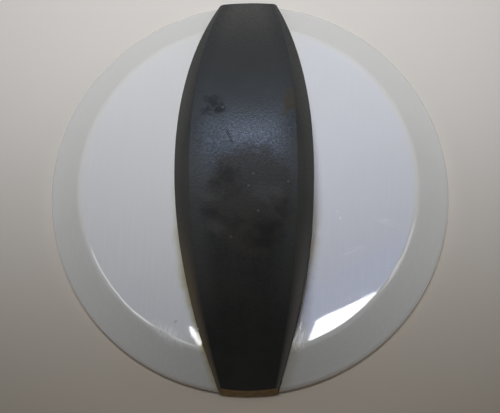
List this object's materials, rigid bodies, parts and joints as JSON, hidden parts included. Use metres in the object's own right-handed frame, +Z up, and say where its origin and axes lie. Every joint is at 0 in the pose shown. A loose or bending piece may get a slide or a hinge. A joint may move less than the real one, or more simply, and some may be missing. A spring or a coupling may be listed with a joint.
{
  "type": "timer knob",
  "caption": "Round white appliance timer knob with a bevelled dial, a dark arched finger grip across it and a flatted shaft socket underneath.",
  "frame": {"origin": "centre of the rim's rest plane, on the shaft axis", "axes": "+Z up the shaft axis out of the dial's face, +Y along the grip, +X across it"},
  "size_m": [0.0742, 0.0748, 0.0245],
  "materials": {
    "dial": "gloss",
    "grip": "satin",
    "stem_clip": "satin"
  },
  "bodies": {
    "root": {"dial": "dial", "grip": "grip", "stem_clip": "stem_clip"}
  },
  "joints": []
}
